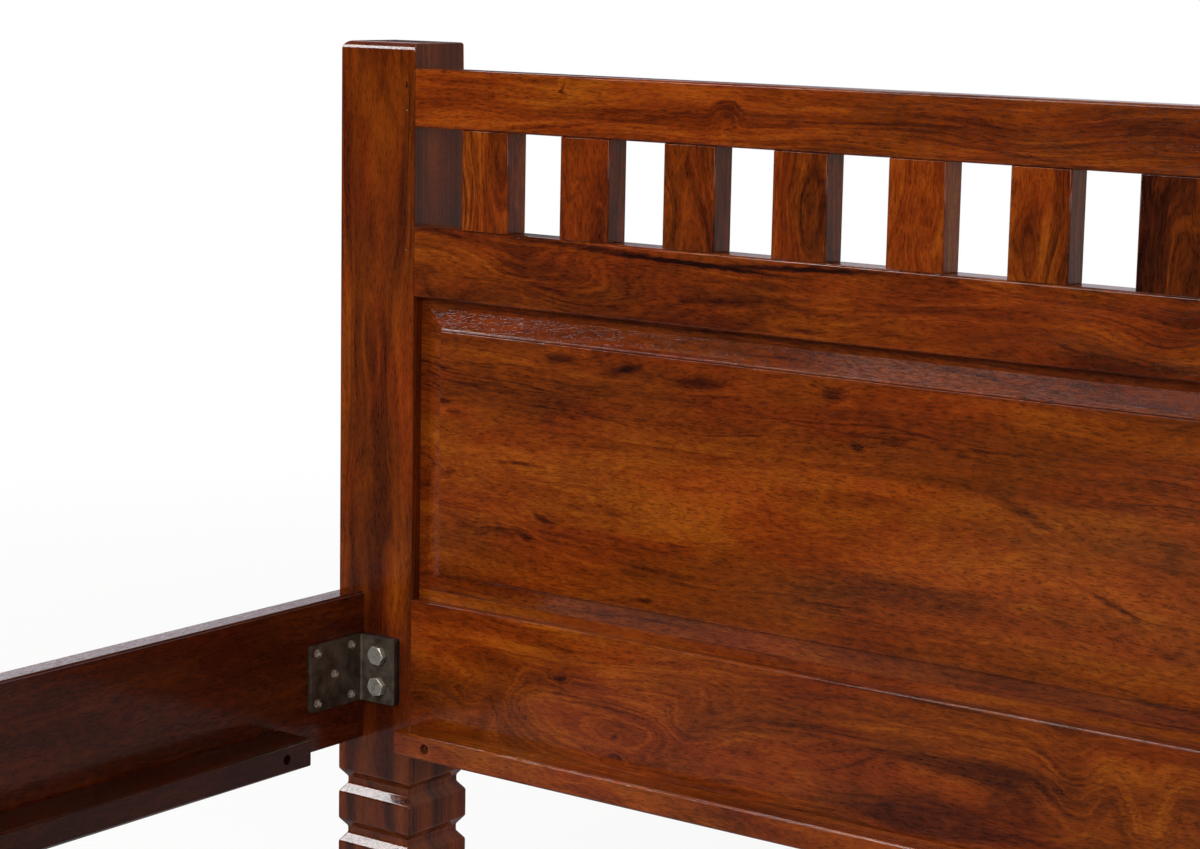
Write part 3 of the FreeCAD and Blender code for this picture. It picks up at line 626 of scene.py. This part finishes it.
bottomRailMarks = (
    (-738, 312, 62, 30, -5, 0.42, 26), (-668, 300, 40, 10, 60, 0.2, 8), (-583, 347, 8, 4, 0, 0.5, 9),
    (-520, 304, 5, 3, 0, 0.4, 5), (-519, 286, 8, 4, 0, 0.5, 7), (-429, 330, 36, 13, 38, 0.2, 10),
    (-640, 368, 70, 14, -8, -0.3, 0), (-500, 352, 60, 16, -8, -0.2, 0), (-60, 350, 16, 24, 20, 0.2, 12),
    (5, 340, 14, 20, 0, 0.18, 16), (-200, 345, 120, 14, 0, 0.14, 0),
)
middleRailMarks = (
    (-540, 745, 110, 3.5, -3, 0.7, 6), (-430, 740, 90, 2, -2, 0.95, 0), (-345, 744, 100, 2.5, 2, 0.8, 0),
    (-720, 688, 36, 12, 0, 0.3, 12), (-600, 720, 60, 22, -10, 0.16, 10), (-330, 692, 22, 3, 0, 0.35, 4),
    (-700, 732, 50, 16, -8, -0.15, 0), (10, 728, 30, 22, 0, 0.12, 10),
)
topRailMarks = (
    (-590, 886, 3, 7, 0, 0.4, 5), (-415, 872, 10, 8, 60, 0.2, 8), (-250, 858, 60, 20, 5, 0.14, 5),
    (-600, 852, 90, 1.6, 6, 0.3, 0), (-120, 850, 110, 2, -6, 0.25, 0),
)
postMarks = ((882, -772, 1.6, 1.3, 0, 1.4, 0),)
quietTimber = {"contrast": 0.28, "streakGain": 0.22, "lineGain": 0.03}
panelTimber = {"contrast": 0.43, "streakGain": 0.26, "mottleGain": 0.4, "lineGain": 0.14, "staves": (375.0, 85.0)}
postTimber = {
    "tone": -0.07, "contrast": 0.58, "bandLength": 900.0, "bandWidth": 14.0, "warpAmount": 7.0,
    "cloudLength": 140.0, "cloudWidth": 30.0, "streakLength": 220.0, "streakGain": 0.6, "mottleGain": 0.13,
}

# each board's grain, the roundness of its edges in mm, and how its wood differs from the acacia above
boards = {
    "head_top_rail": ("x", 0.8, {"pith": (90, 120), "shift": 300.0, "tone": -0.01, "marks": topRailMarks}),
    "head_middle_rail": ("x", 0.8, {"pith": (-30, 60), "shift": 1700.0, "tone": -0.07, "marks": middleRailMarks}),
    "head_bottom_rail": ("x", 0.8, {"pith": (-10, 70), "shift": 4100.0, "marks": bottomRailMarks}),
    "foot_top_rail": ("x", 0.8, {"shift": 5200.0}),
    "foot_bottom_rail": ("x", 0.8, {"shift": 6100.0}),
    "side_rail_left": ("y", 0.5, {**quietTimber, "shift": 900.0, "tone": -0.2}),
    "side_rail_right": ("y", 0.5, {**quietTimber, "shift": 2100.0, "tone": -0.2}),
    "side_cleat_left": ("y", 1.0, {**quietTimber, "shift": 3100.0, "tone": -0.36}),
    "side_cleat_right": ("y", 1.0, {**quietTimber, "shift": 4300.0, "tone": -0.36}),
    "head_cleat": ("x", 1.0, {"shift": 5100.0}),
    "foot_cleat": ("x", 1.0, {"shift": 6700.0}),
    "centre_beam": ("y", 1.0, {"shift": 7700.0}),
    "centre_leg_head": ("z", 1.2, {"shift": 8100.0}),
    "centre_leg_foot": ("z", 1.2, {"shift": 8900.0}),
}
slats = {
    "tones": (0.0, -0.09, -0.12, -0.1, 0.1, -0.11, -0.3, -0.05, 0.0, -0.1, 0.02, -0.08, -0.03),
    "ease": 0.45, "shiftStep": 700.0, "pithSides": (30, 5, -20), "pithDepth": 60,
    "look": {"streakGain": 0.75, "warpLength": 160.0},
}
for number, slatTone in enumerate(slats["tones"]):
    pith = (slats["pithSides"][number % len(slats["pithSides"])], slats["pithDepth"])
    boards["head_slat_%02d" % (number + 1)] = ("z", slats["ease"], {
        **slats["look"], "shift": slats["shiftStep"] * number, "tone": slatTone, "pith": pith})
posts = {
    ("head", "left"): {**postTimber, "shift": 800.0, "tone": -0.09, "marks": postMarks},
    ("head", "right"): {**postTimber, "shift": 1900.0},
    ("foot", "left"): {**postTimber, "shift": 2700.0},
    ("foot", "right"): {**postTimber, "shift": 3300.0},
}
panels = {
    "head_panel": {**panelTimber, "shift": 2600.0, "tone": -0.02, "marks": headPanelMarks},
    "foot_panel": {**panelTimber, "shift": 7300.0, "marks": footPanelMarks},
}


def woodFor(node, grain, look):
    low, high = (np.array(corner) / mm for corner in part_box(node))
    middle = (low + high) / 2
    return lacqueredAcacia("acacia " + node, grain, [float(middle["XYZ".index(a)]) for a in grainAxes[grain]], look)


for name, (grain, ease, look) in boards.items():
    easedCopy(name, woodFor(name, grain, look), ease)
for (end, side), look in posts.items():
    postPiece(end, side, woodFor(end + "_post_" + side, "z", look))
for name, look in panels.items():
    panelPiece(name, woodFor(name, "x", look))
print("timber done")

plainPine = planedPine("planed pine")
slatEase = 0.8
for name in nodes:
    if name.startswith("base_slat"):
        easedCopy(name, plainPine, slatEase)

# brown-grey angle steel, clean grey bolts, warmer grey screws, brads that are mere dull dots, and near-black steel as
# painted shade: on the plate under the angle, which shows as a dark edge, and on the cleat screws, which sit dark in
# their deep counterbores
plate = steel("rolled steel plate", "#897b6c", "#2a221d", 0.95, 0.5, 0.35)
zinc = steel("bright zinc plating", "#dcdacf", "#a5a296", 0.72, 0.3, 0.15)
dullZinc = steel("dull zinc plating", "#d0c6ba", "#948a80", 0.6, 0.38, 0.2)
wire = steel("dull steel wire", "#8f857b", "#4c443e", 0.9, 0.5, 0.2)
paintedShadeSteel = steel("near-black steel as painted shade", "#4a4644", "#1f1c1b", 0.8, 0.5, 0.2)
plateEase, plateShortest = 0.35, 8.0
for name in nodes:
    if name.startswith(("corner_bracket", "beam_hanger")):
        easedCopy(name, plate, plateEase, plateShortest)
    elif name.startswith(("backing_plate_head", "backing_plate_foot")):
        # near-black steel as painted shade, for the dark edge of the plate behind the angle
        easedCopy(name, paintedShadeSteel, plateEase, plateShortest)
for name in ("backing_plate_screws", "beam_screws"):
    nodes[name].data.materials.clear()
    nodes[name].data.materials.append(dullZinc)
# the cleat screws get the near-black steel: painted shade in their deep counterbores
placeFasteners(zinc, dullZinc, paintedShadeSteel, wire)
print("steel and fasteners done")


# Studio

view = {"place": (0.938799, -1.004741, 0.995567), "yaw": -0.633932, "pitch": -0.161273, "roll": 0.019212,
        "lens": 84.871, "sensor": 36.0, "farthest": 60.0}


def placeCamera():
    # angles in radians: yaw from straight at the headboard towards +X, then pitch upwards, then roll
    data = bpy.data.cameras.new("camera")
    data.lens = view["lens"]
    data.sensor_width = view["sensor"]
    data.clip_end = view["farthest"]
    camera = addObject("camera", data)
    turn = (Matrix.Rotation(-view["yaw"], 4, "Z") @ Matrix.Rotation(math.pi / 2 + view["pitch"], 4, "X")
            @ Matrix.Rotation(view["roll"], 4, "Z"))
    camera.matrix_world = Matrix.Translation(view["place"]) @ turn
    bpy.context.scene.camera = camera


# softboxes by compass angle from the foot end towards -X and by angle above the floor, each aimed at a point
lamps = {
    "key": {"azimuth": 2.0, "height": 22.0, "distance": 5.0, "size": (2.4, 2.0), "turn": 0.0,
            "radiance": 9.4, "aim": (-0.3, 1.0, 0.65)},
    "side": {"azimuth": 53.5, "height": 33.0, "distance": 4.0, "size": (0.9, 1.7), "turn": 32.0,
             "radiance": 18.0, "aim": (-0.75, 1.0, 0.45)},
    "strip": {"azimuth": 46.0, "height": 55.0, "distance": 4.0, "size": (0.5, 2.6), "turn": 0.0,
              "radiance": 9.0, "aim": (-0.72, 1.0, 0.65)},
    "right fill": {"azimuth": -50.0, "height": 18.0, "distance": 5.0, "size": (1.6, 1.2), "turn": 0.0,
                   "radiance": 8.0, "aim": (-0.5, 1.0, 0.6)},
    "low fill": {"azimuth": 29.0, "height": 13.0, "distance": 5.0, "size": (1.0, 0.5), "turn": 0.0,
                 "radiance": 1.7, "aim": (-0.1, 1.0, 0.66)},
}


def placeLamps():
    # power is radiance times pi times area
    for name, lamp in lamps.items():
        turn, rise = math.radians(lamp["azimuth"]), math.radians(lamp["height"])
        out = Vector((-math.sin(turn) * math.cos(rise), -math.cos(turn) * math.cos(rise), math.sin(rise)))
        data = bpy.data.lights.new(name, "AREA")
        data.shape = "RECTANGLE"
        data.size, data.size_y = lamp["size"]
        data.energy = lamp["radiance"] * math.pi * data.size * data.size_y
        light = addObject(name, data)
        light.matrix_world = (Matrix.Translation(Vector(lamp["aim"]) + out * lamp["distance"])
                              @ (-out).to_track_quat("-Z", "Y").to_matrix().to_4x4()
                              @ Matrix.Rotation(math.radians(lamp["turn"]), 4, "Z"))


# strengths, and the parts of a direction between which each of them sets in
room = {
    "coolLeft": "#f8f2fa", "warmRight": "#ffe6d6", "warmFrom": 0.4,
    "front": 0.045, "behind": 0.7, "behindLean": 0.8, "behindRange": (-0.25, 0.45),
    "rightShare": 0.62, "rightRange": (-0.3, 0.5),
    "leftLowShare": 0.06, "leftLowRange": (-0.56, -0.4),
    "overhead": 0.3, "overheadRange": (0.55, 0.9),
    "wall": (1.4, 2.2), "wallRange": (-0.66, -0.8), "wallFoot": (0.17, 0.225), "wallEnd": (1.2, 1.3),
}


def fillWorld():
    # white to the camera; to everything else a studio that is pale behind the headboard, dim in front and low on
    # the left, and warmer on the right
    world = bpy.data.worlds.new("studio")
    bpy.context.scene.world = world
    world.use_nodes = True
    tree = world.node_tree
    tree.nodes.clear()
    way = addNode(tree, "SeparateXYZ", links={0: addNode(tree, "TexCoord").outputs["Generated"]})
    x, y, z = way.outputs
    lean = addNode(tree, "Math", {"operation": "MULTIPLY_ADD", 1: room["behindLean"]}, {0: x, 2: y}).outputs[0]
    behind = fade(tree, lean, room["behindRange"], room["front"], room["behind"])
    leftLow = fade(tree, combine(tree, "ADD", z, x), room["leftLowRange"], room["leftLowShare"])
    right = fade(tree, x, room["rightRange"], 1.0, room["rightShare"], "LINEAR")
    behind = combine(tree, "MULTIPLY", combine(tree, "MULTIPLY", behind, leftLow), right)
    overhead = fade(tree, z, room["overheadRange"], 0.0, room["overhead"], "LINEAR")
    # a lit wall far behind on the left, low down, which the left side rail's top mirrors
    wall = fade(tree, x, room["wallRange"], *room["wall"], "LINEAR")
    wall = combine(tree, "MULTIPLY", wall, fade(tree, z, room["wallFoot"]))
    wall = combine(tree, "MULTIPLY", wall, fade(tree, combine(tree, "SUBTRACT", y, x), room["wallEnd"]))
    strength = combine(tree, "MAXIMUM", combine(tree, "MAXIMUM", behind, overhead), wall)
    tint = addNode(tree, "ValToRGB", {"stops": [(0.0, room["coolLeft"]), (room["warmFrom"], room["warmRight"])]},
                   {"Fac": x})
    lit = addNode(tree, "Background", links={"Color": tint.outputs["Color"], "Strength": strength})
    seen = addNode(tree, "Background", {"Color": white, "Strength": 1.0})
    mix = addNode(tree, "MixShader", links={0: addNode(tree, "LightPath").outputs["Is Camera Ray"],
                                            1: lit.outputs[0], 2: seen.outputs[0]})
    addNode(tree, "OutputWorld", links={"Surface": mix.outputs[0]})


floorLook = {
    "reach": 9.0, "colour": "#e8e8e6",
    "shadowShare": 0.13, "clear": 2.6, "white": 4.2,        # how much of a shadow shows, and where that ends
    # the floor's glow seen only in reflections, a painted reflection: weak in front, stronger behind, and cut under
    # the bed as painted shade
    "front": 0.04, "behind": 0.36, "shineRange": (-0.9, 1.0), "under": 0.55, "underRange": (0.5, 1.0),
}


def layFloor():
    # a white floor that still shows the bed's shadow; in reflections it glows as a painted reflection, dim near the
    # bed and darker still under it as painted shade, and pale behind it
    reach = floorLook["reach"]
    mesh = bpy.data.meshes.new("floor")
    mesh.from_pydata([(-reach, -reach, 0), (reach, -reach, 0), (reach, reach, 0), (-reach, reach, 0)], [],
                     [(0, 1, 2, 3)])
    floor = addObject("floor", mesh)
    material, tree = newMaterial("white floor")
    rays = addNode(tree, "LightPath").outputs
    place = addNode(tree, "TexCoord").outputs["Object"]
    apart = addNode(tree, "VectorMath", {"operation": "LENGTH"}, {0: place}).outputs["Value"]
    matt = addNode(tree, "BsdfDiffuse", {"Color": linearColour(floorLook["colour"])}).outputs[0]
    glow = addNode(tree, "Emission", {"Color": white, "Strength": 1.0}).outputs[0]
    share = fade(tree, apart, (floorLook["clear"], floorLook["white"]), 1 - floorLook["shadowShare"], 1.0, "LINEAR")
    seen = addNode(tree, "MixShader", links={0: share, 1: matt, 2: glow}).outputs[0]
    spot = addNode(tree, "SeparateXYZ", links={0: place}).outputs
    # painted reflection: the floor emits light to glossy rays, weak in front of the bed and stronger behind it, and
    # under the bed it is darkened as painted shade
    shine = fade(tree, spot["Y"], floorLook["shineRange"], floorLook["front"], floorLook["behind"])
    aside = addNode(tree, "Math", {"operation": "ABSOLUTE"}, {0: spot["X"]}).outputs[0]
    aside = fade(tree, aside, floorLook["underRange"], floorLook["under"], 1.0, "LINEAR")
    mirrored = addNode(tree, "Emission", {"Color": white}, {"Strength": combine(tree, "MULTIPLY", shine, aside)})
    mix = addNode(tree, "MixShader", links={0: rays["Is Camera Ray"], 1: matt, 2: seen})
    mix = addNode(tree, "MixShader", links={0: rays["Is Glossy Ray"], 1: mix.outputs[0], 2: mirrored.outputs[0]})
    addNode(tree, "OutputMaterial", links={"Surface": mix.outputs[0]})
    mesh.materials.append(material)


placeCamera()
placeLamps()
fillWorld()
layFloor()
bpy.context.scene.view_settings.view_transform = "Standard"
print("studio done")
